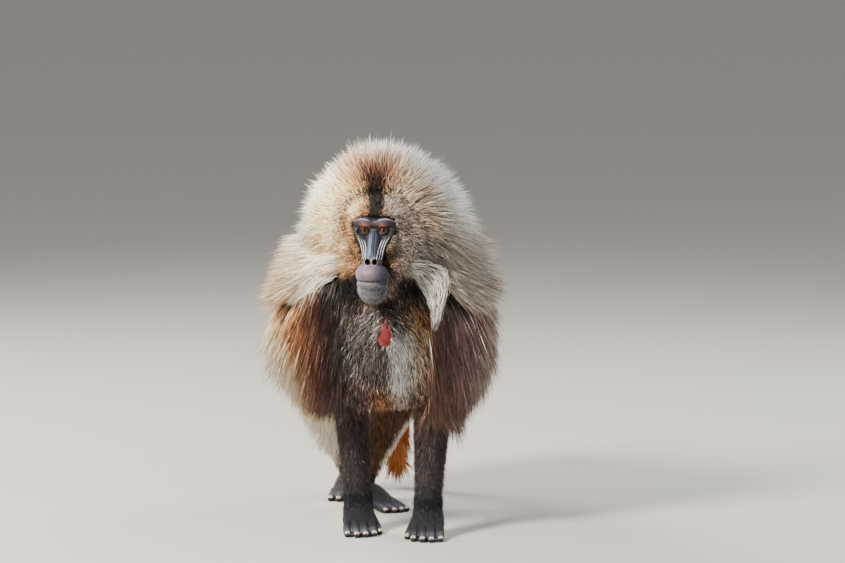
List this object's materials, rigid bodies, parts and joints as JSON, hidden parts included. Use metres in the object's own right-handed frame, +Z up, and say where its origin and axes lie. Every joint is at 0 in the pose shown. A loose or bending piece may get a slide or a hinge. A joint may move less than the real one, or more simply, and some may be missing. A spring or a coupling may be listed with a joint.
{
  "type": "gelada, still life-size model",
  "caption": "Still, life-size adult male gelada standing on all fours with one hind leg forward, long cape and mane, for display on a level floor.",
  "frame": {"origin": "floor level, under the middle of the bounding box of the whole animal", "axes": "+Z up, -Y the way the animal faces, +X its left side"},
  "size_m": [0.4584, 0.815, 0.7256],
  "materials": {
    "bare_skin": "bare and short-haired dark skin",
    "eye": "wet amber-brown eye",
    "mane": "long pale golden hair",
    "chest_hair": "pale grizzled hair with a bare red patch",
    "cape": "long dark brown hair",
    "flank": "brown hair",
    "leg_coat": "beige and dark brown short hair",
    "dark_coat": "short black-brown hair",
    "tuft": "orange-brown hair"
  },
  "bodies": {
    "root": {"head": "bare_skin", "ear_left": "bare_skin", "ear_right": "bare_skin", "eye_left": "eye", "eye_right": "eye", "neck": "mane", "chest": "chest_hair", "shoulder_left": "cape", "shoulder_right": "cape", "torso": "cape", "rump": "flank", "thigh_left": "leg_coat", "thigh_right": "leg_coat", "shank_left": "leg_coat", "shank_right": "leg_coat", "foot_left": "bare_skin", "foot_right": "bare_skin", "forearm_left": "dark_coat", "forearm_right": "dark_coat", "hand_left": "bare_skin", "hand_right": "bare_skin", "tail": "flank", "tail_tuft": "tuft"}
  },
  "joints": []
}
